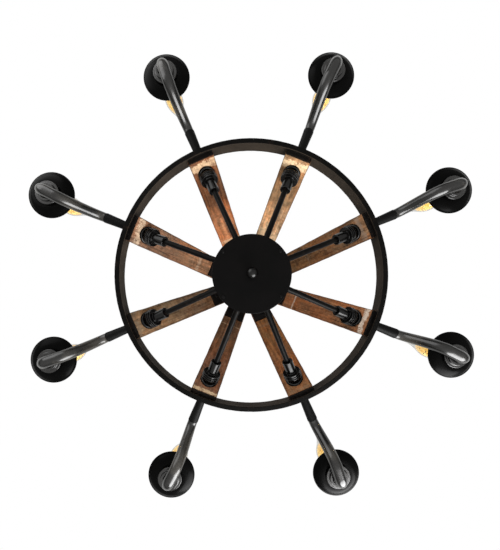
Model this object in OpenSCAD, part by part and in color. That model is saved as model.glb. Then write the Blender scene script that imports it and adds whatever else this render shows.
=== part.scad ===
// Multi arm chandelier: wooden planks rise from a steel ring to a crown, thin pipes brace
// them from a hub below, and bent arms carry candle lamps around the ring.
// The origin is on the ceiling at the centre of the canopy, and +Z points up.

/* [Overall] */
// Height of the ceiling above the underside of the ring
drop = 385; // [380:5:460]
// Radius of the circle on which the lamps stand
lamp_r = 400; // [395:5:420]

/* [Ring] */
// Outer radius of the ring
ring_r = 255; // [254:1:256]
// Height of the ring's wall
ring_h = 38; // [36:1:42]
// Thickness of the ring's wall and lip
ring_t = 3; // [2.5:0.5:3]
// Width of the lip at the bottom of the ring
lip_w = 9; // [8:1:10]

/* [Planks] */
// Width of a plank
plank_w = 52.5; // [48:0.5:53]
// Thickness of a plank
plank_t = 18; // [17:1:19]
// Slope of a plank from the horizontal
plank_tilt = 52; // [51:1:53]
// Thickness of the steel brackets on the planks
bracket_t = 3; // [2:0.5:3]

/* [Hub] */
// Radius of the hub's cover
cover_r = 71; // [70:1:73]
// Height of the cover's underside, from the underside of the ring
cover_z = -23; // [-24:1:-22]
// Outer radius of the hub box
box_r = 69; // [68:0.5:69]
// Radius of the finial's ball
ball_r = 10; // [8:1:12]

/* [Pipes] */
// Outer radius of a pipe
pipe_r = 5.5; // [5:0.5:6]
// Slope of a pipe from the horizontal
pipe_tilt = 17; // [16:1:18]
// Radius of the round flange that a pipe ends in
flange_r = 18.5; // [17:0.5:19]

/* [Arms] */
// Height of an arm where it leaves the ring
arm_z = 19; // [18:1:20]
// Depth that an arm dips below that height
arm_dip = 53; // [50:1:55]
// Tube radius of an arm at the ring
arm_r1 = 8.8; // [8.4:0.1:9]
// Tube radius of an arm at the lamp
arm_r2 = 11.3; // [10.5:0.1:11.4]
// Distance that an arm bows sideways on its way out
arm_bow = 3; // [0:0.5:4]
// Radius of the bend below a lamp
elbow_r = 18; // [17:1:19]

/* [Lamps] */
// Radius of a lamp's cup
cup_r = 43; // [40:1:46]
// Radius of a lamp socket
socket_r = 12.5; // [11:0.5:14]
// Height of the glass of a bulb
glass_h = 105; // [95:1:112]
// Largest radius of the glass of a bulb
glass_r = 18.5; // [16:0.5:20]

/* [Canopy] */
// Radius of the ceiling canopy
canopy_r = 63.5; // [60:0.5:70]
// Height of the ceiling canopy
canopy_h = 28; // [26:1:28]
// Spacing of the two slots in the crossbar
slot_spacing = 88.9; // [84:0.1:92]

/* [Hidden] */
arm_count = 8;
step = 360 / arm_count;
gap = 0.05;
lift_gap = 0.3;

// Planks: the underside runs from the foot up to the top
foot = [241, 15];
top_r = 66;
leaf_t = 3;
leaf_r = ring_r - ring_t;
plank_end_r = leaf_r - leaf_t - 1.5;
top = [top_r, foot.y + (foot.x - top_r) * tan(plank_tilt)];
plank_len = (foot.x - top_r) / cos(plank_tilt);
outward = [plank_t * sin(plank_tilt), plank_t * cos(plank_tilt)];
end_z = foot.y + outward.y + (foot.x + outward.x - plank_end_r) * tan(plank_tilt);
strap_len = 62;
strap_w = 48;
tab_len = 64;
tab_start = 10;
tab_w = 40;
shelf_w = 50;
plate_z = top.y + 2.3;
plate_t = 4;
plate_apothem = 62;

// Plank screws: [distance up the slope, sideways], lower pair from above, upper pair from below
screw_r = 2.25;
screw_len = 15;
screw_head_r = 4.5;
screw_head_h = 2.5;
low_screws = [[52, -12], [52, 12]];
high_screws = [[plank_len - 44, 0], [plank_len - 16, 0]];

// Pipes: the axis meets the plank's underside at the joint point
joint_r = 222;
joint = [joint_r, foot.y + (foot.x - joint_r) * tan(plank_tilt)];
joint_up = (foot.x - joint.x) / cos(plank_tilt);
flange_t = 4;
bell_r = 12;
collar_r = 18;
groove_r = 15.5;
neck_r = 8.8;
pipe_start = 12;
pipe_end_r = 60;
pipe_len = (joint.x - pipe_end_r) / cos(pipe_tilt) - pipe_start;
pipe_wall = 1;
sleeve_end = 43;

// Hub
cover_t = 3;
box_t = 2;
box_z = cover_z + cover_t;
box_h = 36;
hub_screw = [51, 40];
hub_screw_r = 2;
stud_r = 3;
stud_len = 11;
boss_r = 7;
finial_base_h = 2;
finial_neck_r = 4;
ball_drop = ball_r + 5;

// Centre tube, stem and lock nut
tube_r = 9.5;
stem_r = 6.5;
stem_bore_r = 4.5;
stem_in_tube = 15;

// Arm sleeves and arms
sleeve_len = 46;
sleeve_r1 = 7.9;
sleeve_r2 = 9.6;
spigot_r = 5;
tenon_r = 7;
arm_start = ring_r + 14;
arm_shoulder = ring_r + sleeve_len + lift_gap;
dip_start = arm_shoulder + 3;
arm_low = arm_z - arm_dip;
elbow_z = arm_low + elbow_r;
dip_end = lamp_r - elbow_r - 16;
dip_steps = 12;
elbow_steps = 8;
arm_sides = 16;
collar_bottom = -17;
collar_step = -12.5;
cup_bottom = -8;
collar_r1 = 16.5;
collar_r2 = 21.5;
arm_top = cup_bottom - 2 - lift_gap;

// Lamps
cup_t = 1.5;
cup_flat_r = 24;
cup_bead_r = 1.2;
cup_steps = 10;
nipple_r = 5;
socket_top = 34;
socket_floor = 12;
bulb_base_r = 6;
glass_z = socket_top + lift_gap;
glass_steps = 22;

// Swivel: a cross whose trunnions run in two forks
pivot_z = -50;
trunnion_r = 3;
fork_in = 8;
fork_out = 12;
ear_half = 5.5;
ear_tail = 7;
yoke_plate_r = 15;
yoke_plate_t = 4;
hook_plate_z = -canopy_h - yoke_plate_t;
cross_half = fork_in - lift_gap;
nipple_top = -0.5;
yoke_plate_z = pivot_z - 18;
yoke_boss_h = 16;
yoke_boss_r = 11;
cross_h = 9;
stem_top = yoke_plate_z - 6;

// Crossbar and canopy
bar_l = 112;
bar_w = 18;
bar_t = 2;
slot_r = 2.4;
slot_len = 12;
canopy_t = 1.5;
canopy_corner = 12;
ceiling_nipple_r = 6.4;

$fn = 64;

// ---- placing ----

// Puts its children at the level of the ring's underside
module at_ring() {
    translate([0, 0, -drop]) children();
}

// Turns its children to spoke k, counted from 1
module at_spoke(k) {
    at_ring() rotate([0, 0, step * (k - 0.5)]) children();
}

module at_each_spoke() {
    for (k = [1:arm_count]) at_spoke(k) children();
}

// Stands its children on a plank's underside, z outward, at a distance up the slope
module on_plank(up, side = 0) {
    translate([foot.x, 0, foot.y])
        rotate([0, plank_tilt, 0])
            translate([-up, side, 0])
                children();
}

// Lays an outline drawn in radius and height across a width
module across(w) {
    rotate([90, 0, 0]) linear_extrude(w, center = true) children();
}

// Runs z from the joint point back down a pipe towards the hub
module along_pipe() {
    translate([joint.x, 0, joint.y]) rotate([0, -90 - pipe_tilt, 0]) children();
}

// Runs z outward along a spoke at the arms' height
module along_arm(r) {
    translate([r, 0, arm_z]) rotate([0, 90, 0]) children();
}

// ---- planks and their steel ----

module plank_screw_places() {
    for (p = low_screws) {
        on_plank(p.x, p.y) translate([0, 0, plank_t + bracket_t]) children();
    }
    for (p = high_screws) {
        on_plank(p.x, p.y) translate([0, 0, -bracket_t]) rotate([180, 0, 0]) children();
    }
}

module plank_screw_holes() {
    plank_screw_places()
        translate([0, 0, -screw_len - gap])
            cylinder(h = screw_len + gap + 1, r = screw_r + gap);
}

module plank() {
    color("#8a5a35")
    difference() {
        across(plank_w)
            polygon([foot, [plank_end_r, foot.y], [plank_end_r, end_z], top + outward, top]);
        plank_screw_holes();
    }
}

module plank_screws() {
    color("#1c1b1a")
    at_each_spoke() plank_screw_places() {
        cylinder(h = screw_head_h, r1 = screw_head_r, r2 = screw_head_r - 2);
        translate([0, 0, -screw_len]) cylinder(h = screw_len, r = screw_r);
    }
}

module plank_foot() {
    difference() {
        union() {
            translate([0, 0, ring_t]) linear_extrude(ring_h - ring_t) intersection() {
                difference() {
                    circle(leaf_r, $fn = 180);
                    circle(leaf_r - leaf_t, $fn = 180);
                }
                translate([leaf_r - 20, -shelf_w / 2]) square([30, shelf_w]);
            }
            translate([foot.x, -shelf_w / 2, foot.y - bracket_t])
                cube([leaf_r - leaf_t + 0.5 - foot.x, shelf_w, bracket_t]);
            on_plank(tab_len)
                translate([0, -tab_w / 2, plank_t])
                    cube([tab_len - tab_start, tab_w, bracket_t]);
        }
        plank_screw_holes();
        along_arm(leaf_r - 10) cylinder(h = 20, r = spigot_r + gap);
    }
}

module plank_feet() {
    color("#1a1918") at_each_spoke() plank_foot();
}

module crown() {
    color("#1a1918")
    difference() {
        union() {
            at_ring() translate([0, 0, plate_z])
                cylinder(h = plate_t, r = plate_apothem / cos(step / 2), $fn = arm_count);
            at_each_spoke()
                on_plank(plank_len + 8)
                    translate([0, -strap_w / 2, -bracket_t])
                        cube([strap_len + 8, strap_w, bracket_t]);
        }
        at_ring() translate([0, 0, plate_z - 1]) cylinder(h = plate_t + 2, r = stem_r + gap);
        at_each_spoke() plank_screw_holes();
    }
}

// ---- ring and arms ----

module ring() {
    color("#1a1918")
    at_ring() difference() {
        rotate_extrude($fn = 180)
            polygon([
                [ring_r - lip_w, 0], [ring_r, 0], [ring_r, ring_h],
                [leaf_r, ring_h], [leaf_r, ring_t], [ring_r - lip_w, ring_t]
            ]);
        for (k = [1:arm_count]) {
            rotate([0, 0, step * (k - 0.5)]) along_arm(leaf_r - 5) cylinder(h = 15, r = spigot_r + gap);
        }
    }
}

module arm_sleeve() {
    difference() {
        union() {
            along_arm(leaf_r - leaf_t) cylinder(h = leaf_t + ring_t + 1, r = spigot_r);
            along_arm(ring_r) cylinder(h = sleeve_len, r1 = sleeve_r1, r2 = sleeve_r2);
        }
        along_arm(arm_start - lift_gap) cylinder(h = sleeve_len, r = tenon_r + gap);
        along_arm(leaf_r - leaf_t - 1) cylinder(h = sleeve_len, r = stud_r);
    }
}

module arm_sleeves() {
    color("#0e0e0e") at_each_spoke() arm_sleeve();
}

// The arm's centre line: a tenon in the sleeve, a smooth dip, then the bend up into the cup
arm_line = concat(
    [[arm_start, arm_z], [arm_shoulder - gap, arm_z], [arm_shoulder, arm_z]],
    [for (i = [0:dip_steps])
        let (t = i / dip_steps)
        [dip_start + (dip_end - dip_start) * t, arm_z - arm_dip * (1 - cos(180 * t)) / 2]],
    [for (j = [0:elbow_steps])
        let (a = -90 + 90 * j / elbow_steps)
        [lamp_r - elbow_r + elbow_r * cos(a), elbow_z + elbow_r * sin(a)]],
    [[lamp_r, arm_top]]
);
arm_last = len(arm_line) - 1;

function arm_dir(i) =
    let (d = arm_line[min(i + 1, arm_last)] - arm_line[max(i - 1, 0)])
    d / norm(d);

function arm_radius(i) = i < 2 ? tenon_r : arm_r1 + (arm_r2 - arm_r1) * i / arm_last;

function arm_side(x) =
    x < arm_shoulder ? 0 : -arm_bow * pow(sin(180 * (x - arm_shoulder) / (lamp_r - arm_shoulder)), 2);

module arm() {
    points = [
        for (i = [0:arm_last], s = [0:arm_sides - 1])
            let (d = arm_dir(i), r = arm_radius(i), a = 360 * s / arm_sides, p = arm_line[i])
            [p.x - d.y * r * cos(a), arm_side(p.x) + r * sin(a), p.y + d.x * r * cos(a)]
    ];
    sides = [
        for (i = [0:arm_last - 1], s = [0:arm_sides - 1], half = [0, 1])
            let (n = (s + 1) % arm_sides, a = i * arm_sides, b = (i + 1) * arm_sides)
            half == 0 ? [a + s, a + n, b + n] : [a + s, b + n, b + s]
    ];
    start_cap = [[for (s = [arm_sides - 1:-1:0]) s]];
    end_cap = [[for (s = [0:arm_sides - 1]) arm_last * arm_sides + s]];
    color("#262626") polyhedron(points, concat(sides, start_cap, end_cap));
}

// ---- hub and pipes ----

module pipe() {
    color("#1c1b1a")
    along_pipe() translate([0, 0, pipe_start]) difference() {
        cylinder(h = pipe_len, r = pipe_r);
        translate([0, 0, -1]) cylinder(h = pipe_len + 2, r = pipe_r - pipe_wall);
    }
}

module pipe_flange() {
    difference() {
        union() {
            on_plank(joint_up)
                translate([0, 0, -flange_t])
                    cylinder(h = flange_t, r1 = flange_r - 2.5, r2 = flange_r);
            along_pipe() rotate_extrude() polygon([
                [0, -6], [bell_r, -6], [bell_r, 10], [collar_r, 10], [collar_r, 13], [groove_r, 13],
                [groove_r, 14.2], [collar_r, 14.2], [collar_r, 17.2], [groove_r, 17.2],
                [groove_r, 18.4], [groove_r + 1, 18.4], [groove_r + 1, 21],
                [neck_r, 21], [neck_r, sleeve_end], [0, sleeve_end]
            ]);
        }
        on_plank(joint_up + 50) translate([0, -50, 0]) cube([100, 100, 50]);
        along_pipe() translate([0, 0, pipe_start - lift_gap]) cylinder(h = sleeve_end, r = pipe_r + gap);
    }
}

module pipe_flanges() {
    color("#141312") at_each_spoke() pipe_flange();
}

module hub_screw_places() {
    for (sx = [-1, 1], sy = [-1, 1]) {
        at_ring() translate([sx * hub_screw.x, sy * hub_screw.y, cover_z]) children();
    }
}

module hub_box() {
    color("#1d1c1b")
    difference() {
        union() {
            at_ring() translate([0, 0, box_z]) difference() {
                cylinder(h = box_h, r = box_r, $fn = 128);
                translate([0, 0, -1]) cylinder(h = box_h - box_t, r = box_r - box_t, $fn = 128);
            }
            hub_screw_places() translate([0, 0, cover_t]) cylinder(h = 8, r = 4.5);
        }
        hub_screw_places() translate([0, 0, cover_t - 1]) cylinder(h = 8, r = hub_screw_r + gap);
        at_ring() translate([0, 0, box_z + box_h - 10]) cylinder(h = 20, r = tube_r + gap);
        at_each_spoke()
            along_pipe() translate([0, 0, sleeve_end + 60]) cylinder(h = 100, r = pipe_r + gap);
    }
}

module hub_cover() {
    color("#2b2a29")
    difference() {
        at_ring() translate([0, 0, cover_z]) {
            rotate_extrude($fn = 128) {
                polygon([
                    [0, 0], [cover_r - 2, 0],
                    for (a = [-80:10:0]) [cover_r - 2 + 2 * cos(a), 2 + 2 * sin(a)],
                    [cover_r, cover_t], [0, cover_t]
                ]);
            }
            translate([0, 0, cover_t]) cylinder(h = 6, r = boss_r);
        }
        at_ring() translate([0, 0, cover_z - 1]) cylinder(h = 20, r = stud_r + gap);
        hub_screw_places() translate([0, 0, -1]) cylinder(h = 20, r = hub_screw_r + gap);
    }
}

module hub_screws() {
    color("#3a3937")
    hub_screw_places() {
        translate([0, 0, -1.4]) cylinder(h = 1.4, r1 = 2.4, r2 = 3.4);
        cylinder(h = 9, r = hub_screw_r);
    }
}

module finial() {
    color("#262524")
    at_ring() translate([0, 0, cover_z]) {
        cylinder(h = stud_len - 2, r = stud_r);
        translate([0, 0, -finial_base_h]) cylinder(h = finial_base_h, r = boss_r);
        translate([0, 0, -ball_drop / 2]) cylinder(h = ball_drop / 2 - 1, r = finial_neck_r);
        translate([0, 0, -ball_drop]) sphere(ball_r);
    }
}

module centre_tube() {
    color("#1c1b1a")
    at_ring() translate([0, 0, box_z + box_h - 8]) difference() {
        h = plate_z - (box_z + box_h - 8);
        cylinder(h = h, r = tube_r);
        translate([0, 0, -1]) cylinder(h = h + 2, r = stem_r + gap);
    }
}

// ---- lamps ----

module at_lamp() {
    translate([lamp_r, 0, 0]) children();
}

module cup() {
    under = [for (i = [0:cup_steps])
        let (t = i / cup_steps)
        [cup_flat_r + (cup_r - cup_bead_r - cup_flat_r) * t, cup_bottom * (1 - t * t)]];
    over = [for (i = [cup_steps:-1:0]) under[i] + [0, cup_t]];
    color("#151515")
    at_lamp() rotate_extrude() union() {
        polygon(concat(
            [[nipple_r + gap, cup_bottom]], under, over, [[nipple_r + gap, cup_bottom + cup_t]]
        ));
        translate([cup_r - cup_bead_r, cup_bead_r / 2]) circle(cup_bead_r, $fn = 24);
    }
}

module cup_collars() {
    color("#1b1b1b")
    at_each_spoke() at_lamp() rotate_extrude() polygon([
        [arm_r2 + 2 * gap, collar_bottom], [collar_r1 - 1, collar_bottom],
        [collar_r1, collar_bottom + 1], [collar_r1, collar_step], [collar_r2 - 1, collar_step],
        [collar_r2, collar_step + 1], [collar_r2, cup_bottom], [nipple_r + gap, cup_bottom],
        [nipple_r + gap, cup_bottom - 2], [arm_r2 + 2 * gap, cup_bottom - 2]
    ]);
}

module sockets() {
    color("#101010")
    at_each_spoke() at_lamp() rotate_extrude() polygon([
        [2, cup_bottom - 1.8], [nipple_r, cup_bottom - 1.8], [nipple_r, cup_bottom + cup_t],
        [socket_r, cup_bottom + cup_t], [socket_r, socket_top - 1], [socket_r - 1, socket_top],
        [bulb_base_r + 7 * gap, socket_top], [bulb_base_r + 7 * gap, socket_floor],
        [2, socket_floor]
    ]);
}

// Flame-tip outline: radius of the glass at a fraction of its height
function glass_radius(t) = glass_r * pow(sin(180 * pow(t, 0.53)), 2.1);

module bulb() {
    side = [for (i = [0:glass_steps - 1])
        let (t = 0.055 + 0.945 * i / glass_steps)
        [glass_radius(t), glass_z + glass_h * (t - 0.055) / 0.945]];
    color("#e9a94a", 0.8)
    at_lamp() rotate_extrude($fn = 48) polygon(concat(
        [[0, socket_floor + lift_gap], [bulb_base_r, socket_floor + lift_gap], [bulb_base_r, glass_z]],
        side,
        [[0, glass_z + glass_h]]
    ));
}

// ---- hanging ----

module stem() {
    bottom = plate_z - stem_in_tube - drop;
    color("#1c1b1a")
    translate([0, 0, bottom]) difference() {
        cylinder(h = stem_top - bottom, r = stem_r);
        translate([0, 0, -1]) cylinder(h = stem_top - bottom + 2, r = stem_bore_r);
    }
}

module lock_nut() {
    color("#2a2a2a")
    at_ring() translate([0, 0, plate_z + plate_t]) difference() {
        cylinder(h = 6, r = 12, $fn = 6);
        translate([0, 0, -1]) cylinder(h = 8, r = stem_r + gap);
    }
}

// A fork's two ears along X, from one height up to another, bored for the trunnions
module ears(low, high) {
    difference() {
        for (side = [-1, 1]) {
            translate([side * (fork_in + fork_out) / 2 - (fork_out - fork_in) / 2, -ear_half, low])
                cube([fork_out - fork_in, 2 * ear_half, high - low]);
        }
        translate([-20, 0, pivot_z]) rotate([0, 90, 0]) cylinder(h = 40, r = trunnion_r + gap);
    }
}

module swivel_fork() {
    color("#1c1b1a") {
        ears(pivot_z - ear_tail, hook_plate_z + 1);
        translate([0, 0, hook_plate_z]) cylinder(h = yoke_plate_t, r = yoke_plate_r);
        translate([0, 0, -canopy_h]) cylinder(h = canopy_h + nipple_top, r = ceiling_nipple_r);
    }
}

module swivel_cross() {
    color("#6e6a64")
    translate([0, 0, pivot_z]) {
        cube([2 * cross_half, 2 * cross_half, cross_h], center = true);
        translate([-fork_out, 0, 0]) rotate([0, 90, 0]) cylinder(h = 2 * fork_out, r = trunnion_r);
        translate([0, -fork_out, 0]) rotate([-90, 0, 0]) cylinder(h = 2 * fork_out, r = trunnion_r);
    }
}

module stem_fork() {
    color("#1c1b1a")
    difference() {
        union() {
            rotate([0, 0, 90]) ears(yoke_plate_z - 1, pivot_z + ear_tail);
            translate([0, 0, yoke_plate_z - yoke_plate_t]) cylinder(h = yoke_plate_t, r = yoke_plate_r);
            translate([0, 0, yoke_plate_z - yoke_boss_h]) cylinder(h = yoke_boss_h - 2, r = yoke_boss_r);
        }
        translate([0, 0, yoke_plate_z - yoke_boss_h - 1])
            cylinder(h = yoke_boss_h + 1 - 5.9, r = stem_r + gap);
        translate([0, 0, yoke_plate_z - yoke_boss_h]) cylinder(h = 40, r = stem_bore_r);
    }
}

// The canopy's rounded corner, as an arc of the given radius
function canopy_arc(r, angles) = [
    for (a = angles)
        [canopy_r - canopy_corner + r * cos(a), -canopy_h + canopy_corner + r * sin(a)]
];

module canopy() {
    color("#1a1918")
    rotate_extrude($fn = 128) polygon(concat(
        [[ceiling_nipple_r + gap, -canopy_h], [canopy_r - canopy_corner, -canopy_h]],
        canopy_arc(canopy_corner, [-80:10:0]),
        [[canopy_r, 0], [canopy_r - canopy_t, 0]],
        canopy_arc(canopy_corner - canopy_t, [0:-10:-80]),
        [[canopy_r - canopy_corner, -canopy_h + canopy_t],
         [ceiling_nipple_r + gap, -canopy_h + canopy_t]]
    ));
}

module crossbar() {
    color("#9a9894")
    translate([0, 0, -bar_t]) difference() {
        translate([-bar_l / 2, -bar_w / 2, 0]) cube([bar_l, bar_w, bar_t]);
        translate([0, 0, -1]) cylinder(h = bar_t + 2, r = ceiling_nipple_r + gap);
        for (side = [-1, 1], end = [-1, 1]) {
            translate([side * slot_spacing / 2 + end * (slot_len / 2 - slot_r), 0, -1])
                cylinder(h = bar_t + 2, r = slot_r);
        }
        for (side = [-1, 1]) {
            translate([side * slot_spacing / 2 - slot_len / 2 + slot_r, -slot_r, -1])
                cube([slot_len - 2 * slot_r, 2 * slot_r, bar_t + 2]);
        }
    }
}

// ---- drawing ----

canopy();
crossbar();
swivel_fork();
swivel_cross();
stem_fork();
stem();
lock_nut();
crown();
centre_tube();
hub_box();
hub_cover();
hub_screws();
finial();
ring();
plank_feet();
plank_screws();
pipe_flanges();
arm_sleeves();
cup_collars();
sockets();
for (k = [1:arm_count]) {
    at_spoke(k) plank();
    at_spoke(k) pipe();
    at_spoke(k) arm();
    at_spoke(k) cup();
    at_spoke(k) bulb();
}
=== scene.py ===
"""Multi arm chandelier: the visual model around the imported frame."""
import math

import bmesh
import bpy
from mathutils import Matrix, Vector, noise


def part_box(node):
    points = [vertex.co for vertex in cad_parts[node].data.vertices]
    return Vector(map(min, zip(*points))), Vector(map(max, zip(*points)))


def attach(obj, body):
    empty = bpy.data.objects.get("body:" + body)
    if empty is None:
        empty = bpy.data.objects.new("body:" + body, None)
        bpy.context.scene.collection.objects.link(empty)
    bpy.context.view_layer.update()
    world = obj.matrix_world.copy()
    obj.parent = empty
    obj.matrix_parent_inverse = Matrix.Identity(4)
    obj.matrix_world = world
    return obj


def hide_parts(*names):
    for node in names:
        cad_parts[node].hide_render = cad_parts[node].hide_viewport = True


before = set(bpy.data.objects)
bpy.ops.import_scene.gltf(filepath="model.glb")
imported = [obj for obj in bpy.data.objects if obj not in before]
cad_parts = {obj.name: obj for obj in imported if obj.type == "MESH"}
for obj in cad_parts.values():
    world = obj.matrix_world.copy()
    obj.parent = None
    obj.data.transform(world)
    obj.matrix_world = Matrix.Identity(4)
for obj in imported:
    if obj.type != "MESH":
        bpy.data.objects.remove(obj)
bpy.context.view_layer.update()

MM = 0.001
COUNT = 8
STEP = math.tau / COUNT

# ---------------------------------------------------------------- places, from the frame

ring_low, ring_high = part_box("ring")
cup_low, cup_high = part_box("cup_1")
cover_low, cover_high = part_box("hub_cover")
canopy_low, canopy_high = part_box("canopy")

RING_Z = ring_low[2]
RING_R = ring_high[0]
RING_H = ring_high[2] - ring_low[2]
RING_T = 3 * MM
LIP_W = 9 * MM
CUP_R = (cup_high[0] - cup_low[0]) / 2
LAMP_R = math.hypot((cup_low[0] + cup_high[0]) / 2, (cup_low[1] + cup_high[1]) / 2)
COVER_R = cover_high[0]
COVER_Z = cover_low[2] - RING_Z
CANOPY_R = canopy_high[0]
CANOPY_H = -canopy_low[2]

# Planks: the underside of a board runs up its slope from the foot
PLANK_W = 52.5 * MM
PLANK_T = 18 * MM
PLANK_TILT = math.radians(52)
FOOT_R = 241 * MM
FOOT_Z = 15 * MM
TOP_R = 66 * MM
PLANK_END_R = 247.5 * MM
PLANK_LEN = (FOOT_R - TOP_R) / math.cos(PLANK_TILT)
VISIBLE_LEN = 215 * MM

# Pipes: the axis meets the plank's underside at the joint
JOINT_R = 222 * MM
JOINT_Z = FOOT_Z + (FOOT_R - JOINT_R) * math.tan(PLANK_TILT)
PIPE_TILT = math.radians(17)
PIPE_R = 5.5 * MM

# Arms
ARM_Z = 19 * MM
ARM_DIP = 53 * MM
ARM_R1 = 8.8 * MM
ARM_R2 = 11.3 * MM
ARM_BOW = 3 * MM
ELBOW_R = 18 * MM
TENON_R = 7 * MM
ARM_START = RING_R + 14 * MM
SHOULDER = RING_R + 46.3 * MM
DIP_START = SHOULDER + 3 * MM
DIP_END = LAMP_R - ELBOW_R - 16 * MM

# Lamps, heights from the ring's underside
CUP_BOTTOM = -8 * MM
GLASS_Z = 34.3 * MM
GLASS_H = 105 * MM
GLASS_R = 18.5 * MM


# ---------------------------------------------------------------- frames of reference

def at_ring():
    """Heights from the ring's underside."""
    return Matrix.Translation((0, 0, RING_Z))


def at_spoke(k):
    """Spoke k, from 1: x outward along it, z up."""
    return at_ring() @ Matrix.Rotation(STEP * (k - 0.5), 4, "Z")


def at_lamp(k):
    return at_spoke(k) @ Matrix.Translation((LAMP_R, 0, 0))


def on_plank(k):
    """Plank k's foot: x runs down the slope, z out of its upper face."""
    return at_spoke(k) @ Matrix.Translation((FOOT_R, 0, FOOT_Z)) @ Matrix.Rotation(PLANK_TILT, 4, "Y")


def along_pipe(k):
    """Pipe k's joint: z runs back down the pipe to the hub."""
    turn = Matrix.Rotation(-math.pi / 2 - PIPE_TILT, 4, "Y")
    return at_spoke(k) @ Matrix.Translation((JOINT_R, 0, JOINT_Z)) @ turn


def along_arm(k, radius):
    """Spoke k at the arms' height: z runs outward."""
    return at_spoke(k) @ Matrix.Translation((radius, 0, ARM_Z)) @ Matrix.Rotation(math.pi / 2, 4, "Y")


# ---------------------------------------------------------------- mesh tools

def fillet(points, radius, closed=True, steps=4):
    """Rounds the corners of an outline in (radius, height), apart from points on the axis."""
    rounded = []
    last = len(points) - 1
    for i, point in enumerate(points):
        here = Vector(point)
        if here.x < 1e-7 or (not closed and i in (0, last)):
            rounded.append(tuple(here))
            continue
        before, after = Vector(points[i - 1]), Vector(points[(i + 1) % len(points)])
        reach = min(radius, (before - here).length * 0.45, (after - here).length * 0.45)
        start = here + (before - here).normalized() * reach
        end = here + (after - here).normalized() * reach
        for j in range(steps + 1):
            t = j / steps
            rounded.append(tuple(start * (1 - t) ** 2 + here * (2 * t * (1 - t)) + end * t * t))
    return rounded


def add_lathe(bm, outline, place=Matrix.Identity(4), sides=64, closed=True, wobble=None):
    """Turns an outline of (radius, height) about z, then moves it by a matrix."""
    rings = []
    for radius, height in outline:
        if radius < 1e-7:
            rings.append([bm.verts.new(place @ Vector((0, 0, height)))])
            continue
        ring = []
        for s in range(sides):
            a = math.tau * s / sides
            r = radius + (wobble(a, radius, height) if wobble else 0)
            ring.append(bm.verts.new(place @ Vector((r * math.cos(a), r * math.sin(a), height))))
        rings.append(ring)
    pairs = list(zip(rings, rings[1:])) + ([(rings[-1], rings[0])] if closed else [])
    for low, high in pairs:
        if len(low) == 1 and len(high) == 1:
            continue
        for s in range(sides):
            n = (s + 1) % sides
            if len(low) == 1:
                bm.faces.new((low[0], high[n], high[s]))
            elif len(high) == 1:
                bm.faces.new((low[s], low[n], high[0]))
            else:
                bm.faces.new((low[s], low[n], high[n], high[s]))


def add_sweep(bm, line, radii, aside, place, sides=40):
    """Sweeps a circle along (x, z) points in the x-z plane, each moved aside in y."""
    rings = []
    for i, (x, z) in enumerate(line):
        a = Vector(line[max(i - 1, 0)])
        b = Vector(line[min(i + 1, len(line) - 1)])
        along = (b - a).normalized()
        ring = []
        for s in range(sides):
            turn = math.tau * s / sides
            out = radii[i] * math.cos(turn)
            point = Vector((x - along.y * out, aside[i] + radii[i] * math.sin(turn), z + along.x * out))
            ring.append(bm.verts.new(place @ point))
        rings.append(ring)
    for low, high in zip(rings, rings[1:]):
        for s in range(sides):
            n = (s + 1) % sides
            bm.faces.new((low[s], low[n], high[n], high[s]))
    bm.faces.new(rings[0][::-1])
    bm.faces.new(rings[-1])


def make(name, bm, material, body, replaced=(), sharp=35):
    """Turns a bmesh into a shown piece that rides on a body."""
    bmesh.ops.recalc_face_normals(bm, faces=bm.faces)
    mesh = bpy.data.meshes.new(name)
    bm.to_mesh(mesh)
    bm.free()
    mesh.shade_smooth()
    mesh.set_sharp_from_angle(angle=math.radians(sharp))
    obj = bpy.data.objects.new(name, mesh)
    bpy.context.scene.collection.objects.link(obj)
    mesh.materials.append(material)
    flats = obj.modifiers.new("even_flats", "WEIGHTED_NORMAL")
    flats.keep_sharp = True
    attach(obj, body)
    if replaced:
        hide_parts(*replaced)
    return obj


# ---------------------------------------------------------------- material tools

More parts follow.
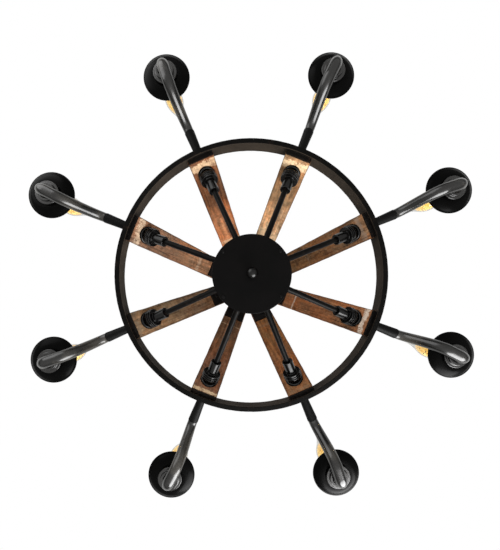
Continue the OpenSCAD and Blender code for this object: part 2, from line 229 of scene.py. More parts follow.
class Shader:
    """A node material with a Principled shader, and short ways to add nodes."""

    def __init__(self, name):
        self.material = bpy.data.materials.new(name)
        self.material.use_nodes = True
        self.tree = self.material.node_tree
        self.bsdf = self.tree.nodes["Principled BSDF"]

    def add(self, kind, inputs=(), **settings):
        node = self.tree.nodes.new(kind)
        for key, value in settings.items():
            setattr(node, key, value)
        for socket, value in dict(inputs).items():
            self.set(node.inputs[socket], value)
        return node

    def set(self, socket, value):
        if isinstance(value, bpy.types.NodeSocket):
            self.tree.links.new(value, socket)
        else:
            socket.default_value = value

    def shader(self, **values):
        for key, value in values.items():
            self.set(self.bsdf.inputs[key.replace("_", " ")], value)

    def math(self, operation, a, b=0.0, clamp=False):
        node = self.add("ShaderNodeMath", {0: a, 1: b}, operation=operation, use_clamp=clamp)
        return node.outputs[0]

    def noise(self, vector, scale, detail=4.0, rough=0.55, distortion=0.0):
        inputs = {"Vector": vector, "Scale": scale, "Detail": detail, "Roughness": rough,
                  "Distortion": distortion}
        return self.add("ShaderNodeTexNoise", inputs).outputs["Fac"]

    def ramp(self, factor, stops):
        """A colour ramp; each stop is (place, grey) or (place, (r, g, b))."""
        node = self.add("ShaderNodeValToRGB", {"Fac": factor})
        elements = node.color_ramp.elements
        while len(elements) < len(stops):
            elements.new(0.5)
        for element, (place, colour) in zip(elements, stops):
            colour = (colour,) * 3 if isinstance(colour, (int, float)) else colour
            element.position = place
            element.color = (*colour, 1)
        return node.outputs["Color"]

    def mix(self, factor, a, b, blend="MIX"):
        node = self.add("ShaderNodeMix", data_type="RGBA", blend_type=blend)
        self.set(node.inputs["Factor"], factor)
        self.set(node.inputs[6], a if isinstance(a, bpy.types.NodeSocket) else (*a, 1))
        self.set(node.inputs[7], b if isinstance(b, bpy.types.NodeSocket) else (*b, 1))
        return node.outputs[2]

    def stretch(self, vector, scale, shift=(0, 0, 0)):
        return self.add("ShaderNodeMapping", {"Vector": vector, "Scale": scale, "Location": shift}).outputs[0]

    def bump(self, height, strength, distance, normal=None):
        inputs = {"Height": height, "Strength": strength, "Distance": distance}
        if normal:
            inputs["Normal"] = normal
        return self.add("ShaderNodeBump", inputs).outputs["Normal"]

    def place(self):
        return self.add("ShaderNodeTexCoord").outputs["Object"]


def srgb(r, g, b):
    """A colour given in 0-255 screen values, as linear numbers."""
    return tuple((c / 255 / 12.92 if c <= 10 else ((c / 255 + 0.055) / 1.055) ** 2.4) for c in (r, g, b))


def black_metal(name, dark, light, rough, shine=0.3, dents=0.15, rust=0.0, wear=0.6, aged=0.0, grain=0.12,
                wall=None):
    """Black painted steel: mottled colour, fine powder grain, worn edges and uneven gloss.

    rust, wear and aged are how strongly each shows; wall is a paler colour painted on upright faces, a
    painted reflection of the bright ceiling.
    """
    s = Shader(name)
    where = s.place()
    cloud = s.noise(where, 22, 5)
    fine = s.noise(where, 900, 3, 0.6)
    base = s.ramp(cloud, [(0.3, dark), (0.7, light)])
    edge = s.add("ShaderNodeNewGeometry").outputs["Pointiness"]
    patchy = s.ramp(cloud, [(0.45, 0.0), (0.6, wear)])
    worn = s.math("MULTIPLY", s.ramp(edge, [(0.60, 0.0), (0.75, 1.0)]), patchy)
    base = s.mix(worn, base, srgb(84, 78, 72))
    if rust:
        patch = s.ramp(s.noise(where, 60, 6, 0.7), [(0.55, 0.0), (0.72, rust)])
        base = s.mix(patch, base, srgb(70, 50, 40))
    if aged:
        streak = s.noise(s.stretch(where, (1, 1, 1), (3, 1, 2)), 17, 3, 0.5, 0.6)
        base = s.mix(s.ramp(streak, [(0.50, 0.0), (0.66, aged)]), base, srgb(128, 122, 112))
    # Painted reflection: upright faces take a paler colour, standing in for the bright ceiling seen in them
    if wall:
        normal = s.add("ShaderNodeNewGeometry").outputs["Normal"]
        facing = s.add("ShaderNodeSeparateXYZ", {0: normal}).outputs["Z"]
        upright = s.ramp(s.math("ABSOLUTE", facing), [(0.3, 1.0), (0.6, 0.0)])
        painted_sheen = s.ramp(cloud, [(0.3, tuple(0.55 * c for c in wall)), (0.65, wall)])
        base = s.mix(upright, base, painted_sheen)
    low, high = rough
    gloss = s.ramp(s.noise(where, 70, 4, 0.65), [(0.25, low), (0.75, high)])
    soft = s.bump(s.noise(where, 45, 3), dents, 0.0015)
    bump = s.bump(fine, grain, 0.0003, soft)
    s.shader(Base_Color=base, Roughness=gloss, Normal=bump)
    s.bsdf.inputs["Specular IOR Level"].default_value = shine
    return s.material


def plated_steel(name, colour, rough=(0.28, 0.45)):
    s = Shader(name)
    where = s.place()
    brushed = s.noise(s.stretch(where, (40, 40, 900)), 3, 4)
    cloud = s.noise(where, 60, 4)
    tone = s.ramp(cloud, [(0.3, tuple(c * 0.7 for c in colour)), (0.7, colour)])
    s.shader(Base_Color=tone, Normal=s.bump(brushed, 0.1, 0.0003))
    s.shader(Roughness=s.ramp(brushed, [(0.3, rough[0]), (0.7, rough[1])]))
    s.bsdf.inputs["Metallic"].default_value = 1.0
    return s.material


def plain_plastic(name, colour, rough):
    s = Shader(name)
    where = s.place()
    fine = s.noise(where, 700, 3)
    cloud = s.noise(where, 50, 4)
    s.shader(Base_Color=s.ramp(cloud, [(0.3, tuple(c * 0.75 for c in colour)), (0.7, colour)]))
    s.shader(Roughness=s.ramp(cloud, [(0.3, rough - 0.08), (0.7, rough + 0.08)]))
    s.shader(Normal=s.bump(fine, 0.15, 0.0002))
    return s.material


def reclaimed_wood(name, low_tone, high_tone, pale, seed, low_band, high_band):
    """Old board. The board attribute holds (distance up the slope, across, through) in metres.

    Each band is (centre up the slope, width, strength) of a scraped stripe in the pale colour.
    """
    s = Shader(name)
    board = s.add("ShaderNodeAttribute", attribute_name="board").outputs["Vector"]
    parts = s.add("ShaderNodeSeparateXYZ", {0: board})
    up, across = parts.outputs["X"], parts.outputs["Y"]
    shift = (seed * 3.7, seed * 1.3, seed * 2.1)
    bend = s.noise(s.stretch(board, (5, 14, 14), shift), 1.0, 2)
    bent = s.add("ShaderNodeVectorMath", {0: board, 1: (0, 0, 0)}, operation="ADD")
    wave = s.add("ShaderNodeCombineXYZ", {"Y": s.math("MULTIPLY", bend, 0.02)})
    s.set(bent.inputs[1], wave.outputs[0])
    bent = bent.outputs[0]
    grain = s.noise(s.stretch(bent, (14, 170, 170), shift), 1.0, 8, 0.66)
    pores = s.noise(s.stretch(bent, (45, 1500, 1500), shift), 1.0, 3, 0.6)
    blotch = s.noise(s.stretch(board, (16, 34, 34), shift), 1.0, 6, 0.66)
    speck = s.noise(s.stretch(board, (240, 300, 300), shift), 1.0, 4, 0.7)

    # Its colour changes up the slope, then grain, rosy, grey, dusty and stained patches lie over it
    climb = s.math("ADD", up, s.math("MULTIPLY", s.math("SUBTRACT", blotch, 0.5), 0.12))
    tone = s.ramp(s.math("DIVIDE", climb, VISIBLE_LEN), [(0.42, low_tone), (0.62, high_tone)])
    mottle = s.noise(s.stretch(board, (150, 120, 120), shift), 1.0, 5, 0.7)
    rough = s.math("ADD", s.math("MULTIPLY", grain, 0.6), s.math("MULTIPLY", mottle, 0.4))
    shade = s.ramp(rough, [(0.34, 0.22), (0.45, 0.72), (0.54, 1.12), (0.66, 1.9)])
    wood = s.mix(1.0, tone, shade, "MULTIPLY")
    rosy = s.mix(1.0, wood, (1.18, 0.91, 0.70), "MULTIPLY")
    wood = s.mix(s.ramp(blotch, [(0.46, 0.0), (0.60, 0.8)]), wood, rosy)
    grey = s.noise(s.stretch(board, (38, 60, 60), (seed * 5.1, 2, seed)), 1.0, 5, 0.7)
    greyed = s.mix(1.0, wood, (0.74, 0.88, 0.98), "MULTIPLY")
    wood = s.mix(s.ramp(grey, [(0.50, 0.0), (0.60, 0.85)]), wood, greyed)
    dusty = s.mix(0.5, s.mix(1.0, tone, (1.5, 1.5, 1.5), "MULTIPLY"), srgb(168, 150, 128))
    wood = s.mix(s.ramp(speck, [(0.56, 0.0), (0.70, 0.55)]), wood, dusty)
    soaked = s.noise(s.stretch(board, (26, 20, 20), (seed, 4, 2)), 1.0, 5, 0.7)
    stain = s.ramp(soaked, [(0.32, 0.8), (0.46, 0.0)])
    wood = s.mix(stain, wood, s.mix(1.0, tone, (0.26, 0.23, 0.2), "MULTIPLY"))

    def band(centre, width, strength):
        """A ragged pale stripe across the board, where the finish has been scraped off."""
        ragged = s.math("MULTIPLY", s.math("SUBTRACT", s.math("ADD", blotch, mottle), 1.0), width * 1.3)
        far = s.math("ABSOLUTE", s.math("SUBTRACT", s.math("ADD", up, ragged), centre))
        near = s.math("SUBTRACT", 1.0, s.math("DIVIDE", far, width / 2), clamp=True)
        worn = s.math("MULTIPLY", s.math("MULTIPLY", near, 3.0, clamp=True), strength)
        return s.math("MULTIPLY", worn, s.ramp(mottle, [(0.36, 0.35), (0.5, 1.0)]))

    scraped = s.mix(1.0, pale, s.ramp(rough, [(0.36, 0.40), (0.48, 0.82), (0.60, 1.0)]), "MULTIPLY")
    for centre, width, strength in (low_band, high_band):
        wood = s.mix(band(centre, width, strength), wood, scraped)

    # Dark long edges, fine cracks, and the relief of grain, pores and saw marks
    edge = s.math("DIVIDE", s.math("ABSOLUTE", across), PLANK_W / 2)
    broken = s.ramp(speck, [(0.35, 0.3), (0.6, 1.0)])
    rim = s.math("MULTIPLY", s.ramp(edge, [(0.87, 0.0), (0.97, 0.9)]), broken)
    wood = s.mix(rim, wood, s.mix(1.0, tone, (0.22, 0.2, 0.18), "MULTIPLY"))
    crack_line = s.noise(s.stretch(bent, (9, 420, 420), (seed, 9, 5)), 1.0, 2, 0.4)
    crack = s.ramp(crack_line, [(0.30, 1.0), (0.34, 0.0)])
    wood = s.mix(s.math("MULTIPLY", crack, 0.85), wood, srgb(22, 13, 8))

    saw_inputs = {"Vector": s.stretch(board, (1, 0.05, 0)), "Scale": 260.0, "Distortion": 2.0, "Detail": 2.0}
    saw = s.add("ShaderNodeTexWave", saw_inputs).outputs["Fac"]
    relief = s.math("ADD", s.math("MULTIPLY", grain, 0.7), s.math("MULTIPLY", pores, 0.25))
    relief = s.math("ADD", relief, s.math("MULTIPLY", saw, 0.05))
    relief = s.math("SUBTRACT", relief, s.math("MULTIPLY", crack, 0.6))
    s.shader(Base_Color=wood, Normal=s.bump(relief, 0.55, 0.0012))
    s.shader(Roughness=s.ramp(blotch, [(0.3, 0.5), (0.7, 0.78)]))
    s.bsdf.inputs["Specular IOR Level"].default_value = 0.15
    return s.material


def clear_glass(name):
    s = Shader(name)
    where = s.place()
    s.shader(Roughness=s.ramp(s.noise(where, 90, 3), [(0.4, 0.0), (0.8, 0.035)]))
    s.bsdf.inputs["Base Color"].default_value = (0.80, 0.79, 0.77, 1)
    s.bsdf.inputs["Transmission Weight"].default_value = 1.0
    s.bsdf.inputs["IOR"].default_value = 1.45
    return s.material


def amber_glow(name):
    """The lit lower part of a bulb: amber, with uneven light and a few dark specks."""
    s = Shader(name)
    where = s.place()
    cloud = s.noise(where, 130, 3)
    glow = s.ramp(cloud, [(0.3, srgb(250, 190, 78)), (0.7, srgb(255, 224, 140))])
    dots = s.ramp(s.noise(where, 240, 1), [(0.69, 0.0), (0.72, 0.9)])
    glow = s.mix(dots, glow, srgb(70, 40, 14))
    s.shader(Base_Color=glow, Emission_Color=glow)
    s.shader(Roughness=s.ramp(cloud, [(0.3, 0.25), (0.7, 0.4)]))
    s.bsdf.inputs["Emission Strength"].default_value = 0.75
    return s.material


IRON = black_metal("black_iron", srgb(6, 5, 5), srgb(17, 14, 12), (0.34, 0.52), 0.2, rust=0.25, wear=0.3)
# The hoop's wall colour is a painted reflection that makes its upright faces paler than its lip
HOOP = black_metal("hoop_iron", srgb(2, 2, 2), srgb(7, 6, 5), (0.42, 0.6), 0.05, rust=0.12, wear=0.15,
                   wall=srgb(50, 43, 36))
PIPE = black_metal("pipe_iron", srgb(3, 3, 3), srgb(8, 7, 6), (0.3, 0.45), 0.07, 0.1, rust=0.15, wear=0.2)
SATIN = black_metal("satin_black", srgb(4, 4, 4), srgb(7, 6, 6), (0.32, 0.44), 0.05, 0.04, wear=0.1)
CUP = black_metal("cup_black", srgb(2, 2, 2), srgb(4, 4, 4), (0.24, 0.34), 0.03, 0.03, wear=0.1)
TURNED = black_metal("turned_black", srgb(3, 3, 3), srgb(8, 7, 7), (0.16, 0.24), 0.28, 0.0, wear=0.2,
                     grain=0.01)
COLLAR = black_metal("turned_gloss", srgb(4, 4, 4), srgb(10, 9, 9), (0.14, 0.22), 0.6, 0.0, wear=0.1,
                     grain=0.0)
GLOSS = black_metal("gloss_black", srgb(4, 4, 4), srgb(10, 9, 8), (0.18, 0.28), 0.55, 0.08, wear=0.2,
                    aged=0.14, grain=0.04)
SLEEVE = black_metal("sleeve_black", srgb(4, 4, 4), srgb(9, 9, 9), (0.4, 0.6), 0.08, 0.1, wear=0.2)
PHENOLIC = plain_plastic("black_phenolic", srgb(26, 26, 26), 0.5)
ZINC = plated_steel("zinc_steel", (0.60, 0.59, 0.56))
BRASS = plated_steel("bulb_brass", (0.78, 0.58, 0.28))
SCREW = black_metal("screw_black", srgb(5, 5, 5), srgb(12, 11, 11), (0.3, 0.45), 0.08, 0.05)
GLASS = clear_glass("bulb_glass")
GLOW = amber_glow("bulb_glow")


# ---------------------------------------------------------------- planks

# One row for each plank: its colour low down and high up, its pale colour, and its two
# scraped bands (centre up the slope, width, strength)
PALE = srgb(226, 196, 158)
PLANKS = [
    (srgb(142, 96, 64), srgb(140, 94, 62), srgb(214, 194, 176), (0.009, 0.010, 1.0), (0.190, 0.005, 0.8)),
    (srgb(136, 90, 56), srgb(140, 94, 56), srgb(140, 108, 80), (0.004, 0.008, 0.6), (0.200, 0.010, 0.7)),
    (srgb(122, 84, 62), srgb(116, 82, 58), PALE, (0.004, 0.008, 0.8), (0.196, 0.004, 0.4)),
    (srgb(128, 102, 76), srgb(118, 92, 70), srgb(112, 98, 82), (0.004, 0.008, 0.5), (0.185, 0.008, 0.3)),
    (srgb(124, 90, 68), srgb(140, 100, 72), srgb(186, 160, 134), (0.012, 0.016, 1.0), (0.180, 0.012, 0.5)),
    (srgb(112, 70, 42), srgb(174, 112, 72), srgb(208, 174, 138), (0.012, 0.016, 1.0), (0.205, 0.008, 0.7)),
    (srgb(142, 108, 76), srgb(190, 152, 116), srgb(218, 188, 150), (0.014, 0.016, 1.0), (0.190, 0.030, 0.5)),
    (srgb(112, 80, 54), srgb(110, 78, 50), srgb(122, 102, 86), (0.012, 0.012, 0.8), (0.150, 0.006, 0.4)),
]


def plank(k):
    """A board with worn, uneven edges, cut level at the foot and upright against the ring."""
    start, stations, corner = -30 * MM, 76, 2.2 * MM
    bm = bmesh.new()
    outline = []
    for cx, cz, first in ((1, 1, 0), (-1, 1, 90), (-1, -1, 180), (1, -1, 270)):
        for j in range(4):
            a = math.radians(first + 30 * j)
            y = cx * (PLANK_W / 2 - corner) + corner * math.cos(a)
            z = cz * (PLANK_T / 2 - corner) + corner * math.sin(a)
            outline.append((y, PLANK_T / 2 + z))
        if cz == cx:
            for t in (0.15, 0.3, 0.5, 0.7, 0.85):
                y = cz * (PLANK_W / 2 - corner) * (1 - 2 * t)
                outline.append((y, PLANK_T if cz > 0 else 0.0))
    rings = []
    for i in range(stations + 1):
        up = start + (PLANK_LEN - start) * i / stations
        ring = []
        for y, z in outline:
            rough = noise.noise(Vector((up * 60, y * 90, z * 90 + k * 7.3)))
            wave = noise.noise(Vector((up * 12, y * 20 + k * 3.1, z * 20)))
            edge = max(0.0, abs(y) / (PLANK_W / 2) - 0.8) * 5
            cut = (0.25 + 0.35 * rough + 0.3 * wave) * MM * (0.35 + edge)
            inward = Vector((-y, PLANK_T / 2 - z)).normalized() * max(0.0, cut)
            ring.append(bm.verts.new((-up, y + inward.x, z + inward.y)))
        rings.append(ring)
    count = len(outline)
    for low, high in zip(rings, rings[1:]):
        for s in range(count):
            n = (s + 1) % count
            bm.faces.new((low[s], low[n], high[n], high[s]))
    bm.faces.new(rings[0][::-1])
    bm.faces.new(rings[-1])
    tilt = Matrix.Rotation(PLANK_TILT, 3, "Y")
    level, upright = tilt.inverted() @ Vector((0, 0, -1)), tilt.inverted() @ Vector((1, 0, 0))
    reach = upright * (PLANK_END_R - FOOT_R)
    for point, normal in ((Vector((0, 0, 0)), level), (reach, upright)):
        geometry = list(bm.verts) + list(bm.edges) + list(bm.faces)
        cut = bmesh.ops.bisect_plane(bm, geom=geometry, plane_co=point, plane_no=normal, clear_outer=True)
        edges = [e for e in cut["geom_cut"] if isinstance(e, bmesh.types.BMEdge)]
        bmesh.ops.contextual_create(bm, geom=edges)
    layer = bm.verts.layers.float_vector.new("board")
    for vert in bm.verts:
        vert[layer] = (-vert.co.x, vert.co.y, vert.co.z)
    bmesh.ops.transform(bm, matrix=on_plank(k), verts=bm.verts)
    low_tone, high_tone, pale, low_band, high_band = PLANKS[k - 1]
    wood = reclaimed_wood(f"board_{k}", low_tone, high_tone, pale, k, low_band, high_band)
    make(f"board_{k}", bm, wood, "fixture", [f"plank_{k}"], sharp=50)


for k in range(1, COUNT + 1):
    plank(k)


# ---------------------------------------------------------------- ring, sleeves and arms

def hammered(a, radius, height):
    """Shallow hammer marks, always inward, so that the hoop keeps its size."""
    mark = noise.noise(Vector((math.cos(a) * 22, math.sin(a) * 22, height * 60)))
    return -0.5 * MM * abs(mark)


def ring():
    wall = RING_R - RING_T
    section = [(RING_R - LIP_W, 0), (RING_R, 0), (RING_R, RING_H),
               (wall, RING_H), (wall, RING_T), (RING_R - LIP_W, RING_T)]
    bm = bmesh.new()
    add_lathe(bm, fillet(section, 0.9 * MM), at_ring(), 360, wobble=hammered)
    make("hoop", bm, HOOP, "fixture", ["ring"])


def arm_line():
    """The arm's centre line: a tenon in the sleeve, a smooth dip, then the bend up into the cup."""
    line = [(ARM_START, ARM_Z), (SHOULDER - 0.05 * MM, ARM_Z), (SHOULDER, ARM_Z)]
    steps = 36
    for i in range(steps + 1):
        t = i / steps
        drop = ARM_DIP * (1 - math.cos(math.pi * t)) / 2
        line.append((DIP_START + (DIP_END - DIP_START) * t, ARM_Z - drop))
    centre = (LAMP_R - ELBOW_R, ARM_Z - ARM_DIP + ELBOW_R)
    turns = 20
    for j in range(turns + 1):
        a = -math.pi / 2 * (1 - j / turns)
        line.append((centre[0] + ELBOW_R * math.cos(a), centre[1] + ELBOW_R * math.sin(a)))
    line.append((LAMP_R, CUP_BOTTOM - 2.3 * MM))
    return line


def arm_radius(i, last):
    return ARM_R1 + (ARM_R2 - ARM_R1) * i / last


def arm_side(x):
    """How far the arm bows sideways at a distance from the centre."""
    if x < SHOULDER:
        return 0.0
    return -ARM_BOW * math.sin(math.pi * (x - SHOULDER) / (LAMP_R - SHOULDER)) ** 2


def arm(k):
    line = arm_line()
    radii = [TENON_R if i < 2 else arm_radius(i, len(line) - 1) for i in range(len(line))]
    aside = [arm_side(x) for x, z in line]
    bm = bmesh.new()
    add_sweep(bm, line, radii, aside, at_spoke(k))
    make(f"tube_arm_{k}", bm, GLOSS, "fixture", [f"arm_{k}"])


def sleeves():
    # In mm from the hoop: a stud through it, then the taper, bored for the arm's tenon
    section = [(3, -6), (5, -6), (5, 0), (7.9, 0), (9.6, 46), (7.1, 46), (7.1, 13.7), (3, 13.7)]
    outline = fillet([(r * MM, h * MM) for r, h in section], 0.7 * MM)
    bm = bmesh.new()
    for k in range(1, COUNT + 1):
        add_lathe(bm, outline, along_arm(k, RING_R), 48)
    make("ferrules", bm, SLEEVE, "fixture", ["arm_sleeves"])


ring()
sleeves()
for k in range(1, COUNT + 1):
    arm(k)


# ---------------------------------------------------------------- pipes and hub

def pipe(k):
    start, end = 12 * MM, (JOINT_R - 60 * MM) / math.cos(PIPE_TILT)
    section = [(PIPE_R - 1 * MM, start), (PIPE_R, start), (PIPE_R, end), (PIPE_R - 1 * MM, end)]
    bm = bmesh.new()
    add_lathe(bm, fillet(section, 0.3 * MM), along_pipe(k), 40)
    make(f"brace_pipe_{k}", bm, PIPE, "fixture", [f"pipe_{k}"])


def pipe_flanges():
    """On each plank: a base disc on the wood, then stacked collars and a sleeve round the pipe."""
    base = fillet([(0, -4 * MM), (16 * MM, -4 * MM), (18.5 * MM, 0), (0, 0)], 1.2 * MM)
    turned = [(0, 3), (16, 3), (18, 6), (18, 9.5), (16, 9.5), (16, 10.5), (18, 10.5), (18, 13.5),
              (16, 13.5), (16, 14.5), (17.5, 14.5), (17.5, 17.5), (10.4, 17.5), (10.4, 43), (5.7, 43),
              (5.7, 12), (0, 12)]
    collar = fillet([(r * MM, h * MM) for r, h in turned], 0.9 * MM)
    joint_up = (FOOT_R - JOINT_R) / math.cos(PLANK_TILT)
    bm = bmesh.new()
    for k in range(1, COUNT + 1):
        add_lathe(bm, base, on_plank(k) @ Matrix.Translation((-joint_up, 0, 0)), 56)
        add_lathe(bm, collar, along_pipe(k), 56)
    make("turned_flanges", bm, TURNED, "fixture", ["pipe_flanges"])


def hub():
    cover_t, hole_r, boss_r, boss_h = 3 * MM, 3.1 * MM, 7 * MM, 9 * MM
    box_r, wall, tube_r, floor, roof = 69 * MM, 2 * MM, 9.6 * MM, COVER_Z + 3 * MM, COVER_Z + 39 * MM
    shell = [(tube_r, roof - wall), (box_r - wall, roof - wall), (box_r - wall, floor), (box_r, floor),
             (box_r, roof), (tube_r, roof)]
    bm = bmesh.new()
    add_lathe(bm, fillet(shell, 1.6 * MM), at_ring(), 160)
    make("hub_shell", bm, IRON, "fixture", ["hub_box"])
    disc = [(hole_r, 0), (COVER_R, 0), (COVER_R, cover_t), (boss_r, cover_t), (boss_r, boss_h),
            (hole_r, boss_h)]
    bm = bmesh.new()
    lifted = at_ring() @ Matrix.Translation((0, 0, COVER_Z))
    add_lathe(bm, fillet(disc, 1.9 * MM, steps=6), lifted, 192)
    make("hub_disc", bm, SATIN, "fixture", ["hub_cover"])


def finial():
    ball, centre, steps = 10 * MM, -15 * MM, 24
    outline = [(0, 8.5 * MM), (3 * MM, 8.5 * MM), (3 * MM, 0), (7 * MM, 0), (7 * MM, -1.6 * MM),
               (4.6 * MM, -2.4 * MM), (4 * MM, -5 * MM)]
    for i in range(1, steps + 1):
        a = math.radians(66 - 156 * i / steps)
        radius = max(0.0, ball * math.cos(a)) if i < steps else 0.0
        outline.append((radius, centre + ball * math.sin(a)))
    bm = bmesh.new()
    add_lathe(bm, outline, at_ring() @ Matrix.Translation((0, 0, COVER_Z)), 64, closed=False)
    make("finial_ball", bm, TURNED, "fixture", ["finial"])


for k in range(1, COUNT + 1):
    pipe(k)
pipe_flanges()
hub()
finial()


# ---------------------------------------------------------------- lamps

def cup(k):
    thick, flat, bead, hole = 1.5 * MM, 24 * MM, 1.2 * MM, 5.05 * MM
    steps = 18
    under, over = [], []
    for i in range(steps + 1):
        t = i / steps
        r = flat + (CUP_R - bead - flat) * t
        z = CUP_BOTTOM * (1 - t * t)
        under.append((r, z))
        over.append((r, z + thick))
    rim = []
    for j in range(1, 10):
        a = -math.pi / 2 + math.pi * 1.1 * j / 10
        rim.append((CUP_R - bead + bead * math.cos(a), bead / 2 + bead * math.sin(a)))
    outline = [(hole, CUP_BOTTOM)] + under[:-1] + rim + over[-2::-1] + [(hole, CUP_BOTTOM + thick)]
    bm = bmesh.new()
    add_lathe(bm, outline, at_lamp(k), 96)
    make(f"saucer_{k}", bm, CUP, "fixture", [f"cup_{k}"])


def collars():
    section = [(11.4, -17), (16.5, -17), (16.5, -12.5), (21.5, -12.5), (21.5, -8), (5.05, -8), (5.05, -10),
               (11.4, -10)]
    outline = fillet([(r * MM, h * MM) for r, h in section], 1.1 * MM)
    bm = bmesh.new()
    for k in range(1, COUNT + 1):
        add_lathe(bm, outline, at_lamp(k), 80)
    make("stepped_collars", bm, COLLAR, "fixture", ["cup_collars"])


def sockets():
    section = [(2, -9.8), (5, -9.8), (5, -6.5), (12.5, -6.5), (12.5, 34), (6.4, 34), (6.4, 12), (2, 12)]
    outline = fillet([(r * MM, h * MM) for r, h in section], 0.8 * MM)
    bm = bmesh.new()
    for k in range(1, COUNT + 1):
        add_lathe(bm, outline, at_lamp(k), 64)
    make("lamp_sockets", bm, PHENOLIC, "fixture", ["sockets"])


def glass_radius(t):
    """The flame-tip outline: the glass's radius at a fraction of its height."""
    return GLASS_R * math.sin(math.pi * t ** 0.53) ** 2.1


def glass_point(t, inset=0.0):
    start = 0.055  # the outline's own tail, below the glass's neck, is cut off
    along = start + (1 - start) * t
    return (max(0.0, glass_radius(along) - inset), GLASS_Z + GLASS_H * t)


def bulb(k):
    """Clear envelope with a thin wall, lit amber body, brass base with a thread."""
    body = f"bulb_{k}"
    steps, inner_steps = 48, 40
    outer = [glass_point(i / steps) for i in range(steps)] + [(0, GLASS_Z + GLASS_H)]
    inner = [glass_point(0.80 * i / inner_steps, 0.8 * MM) for i in range(inner_steps, -1, -1)]
    bm = bmesh.new()
    add_lathe(bm, outer + [(0, inner[0][1])] + inner[1:], at_lamp(k), 64)
    make(f"bulb_glass_{k}", bm, GLASS, body, [body], sharp=60)
    lit, lit_steps = [], 28
    for i in range(lit_steps + 1):
        t = i / lit_steps
        radius, z = glass_point(0.02 + 0.54 * t, 2.0 * MM)
        lit.append((radius * math.sqrt(max(0.0, 1 - max(0.0, t - 0.75) ** 2 * 16)), z))
    lit[0] = (0.0, lit[0][1])
    lit[-1] = (0.0, lit[-1][1])
    bm = bmesh.new()
    add_lathe(bm, lit, at_lamp(k), 48, closed=False)
    make(f"bulb_glow_{k}", bm, GLOW, body, sharp=60)
    bm = bmesh.new()
    thread = [(0, 12.4 * MM), (4 * MM, 12.4 * MM)]
    for i in range(11):
        z = 14 * MM + i * 1.7 * MM
        thread += [(5.2 * MM, z), (5.9 * MM, z + 0.85 * MM)]
    thread += [(5.6 * MM, 33.5 * MM), (6.0 * MM, 34.4 * MM), (0, 34.4 * MM)]
    add_lathe(bm, thread, at_lamp(k), 48, closed=False)
    make(f"bulb_base_{k}", bm, BRASS, body)


for k in range(1, COUNT + 1):
    cup(k)
collars()
sockets()
for k in range(1, COUNT + 1):
    bulb(k)


# ---------------------------------------------------------------- canopy

def canopy():
    wall, corner, hole = 1.5 * MM, 12 * MM, 6.45 * MM
    centre = (CANOPY_R - corner, -CANOPY_H + corner)
    bowl = [(hole, -CANOPY_H)]
    for a in range(-90, 1, 6):
        turn = math.radians(a)
        bowl.append((centre[0] + corner * math.cos(turn), centre[1] + corner * math.sin(turn)))
    bowl += [(CANOPY_R, 0), (CANOPY_R - wall, 0)]
    for a in range(0, -91, -6):
        turn, small = math.radians(a), corner - wall
        bowl.append((centre[0] + small * math.cos(turn), centre[1] + small * math.sin(turn)))
    bowl.append((hole, -CANOPY_H + wall))
    bm = bmesh.new()
    add_lathe(bm, bowl, sides=128)
    make("ceiling_bowl", bm, IRON, "ceiling", ["canopy"])


canopy()

# ---------------------------------------------------------------- CAD parts that stay

KEPT = {
    "crossbar": ZINC, "swivel_cross": ZINC, "lock_nut": ZINC, "swivel_fork": IRON, "stem_fork": IRON,
    "stem": IRON, "crown": IRON, "centre_tube": IRON, "hub_screws": SCREW, "plank_feet": IRON,
    "plank_screws": SCREW,
}
for name, material in KEPT.items():
    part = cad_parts[name]
    part.data.materials.clear()
    part.data.materials.append(material)
    if name in ("crown", "plank_feet", "swivel_fork", "stem_fork", "swivel_cross", "crossbar"):
        bevel = part.modifiers.new("worn_edges", "BEVEL")
        bevel.width = 0.5 * MM
        bevel.segments = 2
        bevel.limit_method = "ANGLE"
        bevel.angle_limit = math.radians(40)


# ---------------------------------------------------------------- stage, light and camera

# The surroundings' brightness from straight down (0) to straight up (1)
SKY = [(0.0, 0.02), (0.34, 0.03), (0.50, 0.20), (0.62, 0.95), (1.0, 0.80)]
FLOOR_Z = -1.9
FLOOR_HALF = 6
LENS = 17.0
SHIFT = (0.018, 0.0425)
ROLL = math.radians(0.7)
EYE = (-0.0214, 0.0433, RING_Z - 0.483)


def stage():
    """A wide pale floor, well below the camera that looks up."""
    s = Shader("floor")
    where = s.place()
    tone = s.ramp(s.noise(where, 3, 4), [(0.3, (0.74, 0.73, 0.72)), (0.7, (0.79, 0.78, 0.77))])
    s.shader(Base_Color=tone, Roughness=0.8)
    bm = bmesh.new()
    bmesh.ops.create_grid(bm, x_segments=2, y_segments=2, size=FLOOR_HALF)
    mesh = bpy.data.meshes.new("floor")
    bm.to_mesh(mesh)
    bm.free()
    mesh.materials.append(s.material)
    floor = bpy.data.objects.new("floor", mesh)
    floor.location = (0, 0, FLOOR_Z)
    bpy.context.scene.collection.objects.link(floor)


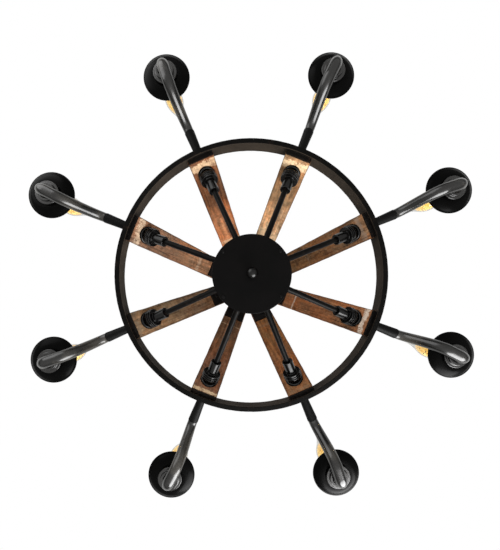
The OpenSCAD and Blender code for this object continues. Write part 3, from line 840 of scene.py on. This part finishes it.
def area_light(name, place, target, size, power):
    light = bpy.data.lights.new(name, "AREA")
    light.shape = "DISK"
    light.size = size
    light.energy = power
    obj = bpy.data.objects.new(name, light)
    obj.location = place
    obj.rotation_euler = (Vector(target) - Vector(place)).to_track_quat("-Z", "Y").to_euler()
    bpy.context.scene.collection.objects.link(obj)


def sky():
    """White behind the object; round it, a dark room below with a bright horizon and ceiling."""
    world = bpy.data.worlds.new("studio")
    bpy.context.scene.world = world
    world.use_nodes = True
    nodes, links = world.node_tree.nodes, world.node_tree.links
    height = nodes.new("ShaderNodeSeparateXYZ")
    links.new(nodes.new("ShaderNodeTexCoord").outputs["Generated"], height.inputs[0])
    level = nodes.new("ShaderNodeMapRange")
    level.inputs["From Min"].default_value = -1
    links.new(height.outputs["Z"], level.inputs["Value"])
    ramp = nodes.new("ShaderNodeValToRGB")
    links.new(level.outputs[0], ramp.inputs["Fac"])
    elements = ramp.color_ramp.elements
    for place, grey in SKY[2:]:
        elements.new(place)
    for element, (place, grey) in zip(elements, SKY):
        element.position = place
        element.color = (grey, grey, grey * 0.98, 1)
    plain = nodes.new("ShaderNodeMix")
    plain.data_type = "RGBA"
    links.new(nodes.new("ShaderNodeLightPath").outputs["Is Camera Ray"], plain.inputs["Factor"])
    links.new(ramp.outputs["Color"], plain.inputs[6])
    plain.inputs[7].default_value = (1, 1, 1, 1)
    links.new(plain.outputs[2], nodes["Background"].inputs["Color"])


def camera():
    """Below the hub, looking straight up, a little to one side, with a wide lens."""
    data = bpy.data.cameras.new("camera")
    data.sensor_width = 36
    data.lens = LENS
    data.shift_x, data.shift_y = SHIFT
    data.clip_start = 0.01
    data.dof.use_dof = False
    obj = bpy.data.objects.new("camera", data)
    right = Vector((math.cos(ROLL), math.sin(ROLL), 0))
    up = Vector((math.sin(ROLL), -math.cos(ROLL), 0))
    back = right.cross(up)
    turn = Matrix((right, up, back)).transposed().to_4x4()
    obj.matrix_world = Matrix.Translation(EYE) @ turn
    bpy.context.scene.collection.objects.link(obj)
    bpy.context.scene.camera = obj


stage()
sky()
area_light("key", (0.9, 2.0, -1.25), (0, 0, RING_Z), 2.2, 150)
area_light("fill", (-1.5, -1.4, -1.35), (0, 0, RING_Z), 2.4, 34)
camera()
bpy.context.scene.view_settings.view_transform = "Standard"
